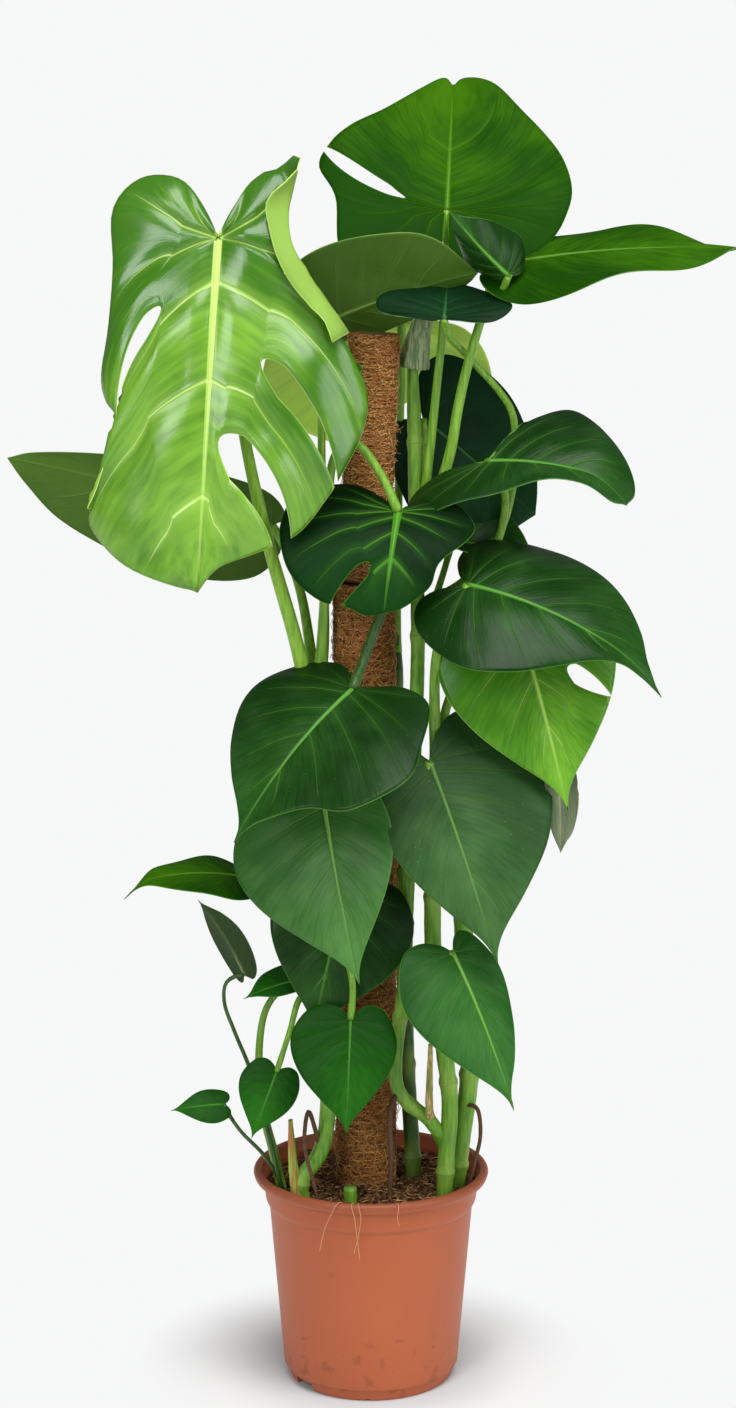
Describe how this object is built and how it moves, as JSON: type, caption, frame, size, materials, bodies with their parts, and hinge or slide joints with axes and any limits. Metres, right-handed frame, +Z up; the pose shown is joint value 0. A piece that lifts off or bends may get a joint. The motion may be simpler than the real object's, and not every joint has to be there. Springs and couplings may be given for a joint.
{
  "type": "potted swiss cheese plant",
  "caption": "Potted swiss cheese plant: heart-shaped and split leaves on long stalks, climbing stems on a stacked coir pole, in soil in a tapered nursery pot.",
  "frame": {"origin": "middle of the plant's box at the height of the pot's foot, on the pot's axis", "axes": "+Z up along the pot's axis, the plant's front faces -Y, +X to the right as seen from the front"},
  "size_m": [0.7199, 0.4005, 1.3063],
  "materials": {
    "pot": "satin",
    "soil": "matte",
    "coir": "matte",
    "pipe": "matte",
    "stem": "satin",
    "root": "matte",
    "leaf": "satin",
    "lime_leaf": "satin"
  },
  "bodies": {
    "root": {"air_root_front": "root", "air_root_left": "root", "air_root_right": "root", "coir_pole_lower": "coir", "coir_pole_upper": "coir", "cut_stub": "stem", "dry_sheath_left": "stem", "dry_sheath_right": "stem", "growth_tip_sheath": "stem", "leaf_behind_lower_left": "leaf", "leaf_behind_right_heart": "leaf", "leaf_bright_low_right": "lime_leaf", "leaf_curled": "leaf", "leaf_dark_behind": "leaf", "leaf_dark_edge_on": "leaf", "leaf_dark_split": "leaf", "leaf_far_left": "leaf", "leaf_front_heart": "leaf", "leaf_glossy_right": "leaf", "leaf_lime_behind": "lime_leaf", "leaf_lime_split": "lime_leaf", "leaf_low_left": "leaf", "leaf_low_right_heart": "leaf", "leaf_lower_left_heart": "leaf", "leaf_narrow_left": "leaf", "leaf_right_heart": "leaf", "leaf_right_small_heart": "leaf", "leaf_seen_from_below": "leaf", "leaf_side_left": "leaf", "leaf_small_heart_centre": "leaf", "leaf_small_heart_left": "leaf", "leaf_tiny_left": "leaf", "leaf_top": "leaf", "leaf_twisted_right": "leaf", "leaf_withered": "leaf", "nursery_pot": "pot", "pole_pipe_lower": "pipe", "pole_pipe_upper": "pipe", "pole_top_plug": "pipe", "soil": "soil", "stem_dark": "stem", "stem_left": "stem", "stem_main": "stem", "stem_outer": "stem", "stem_right": "stem"}
  },
  "joints": []
}
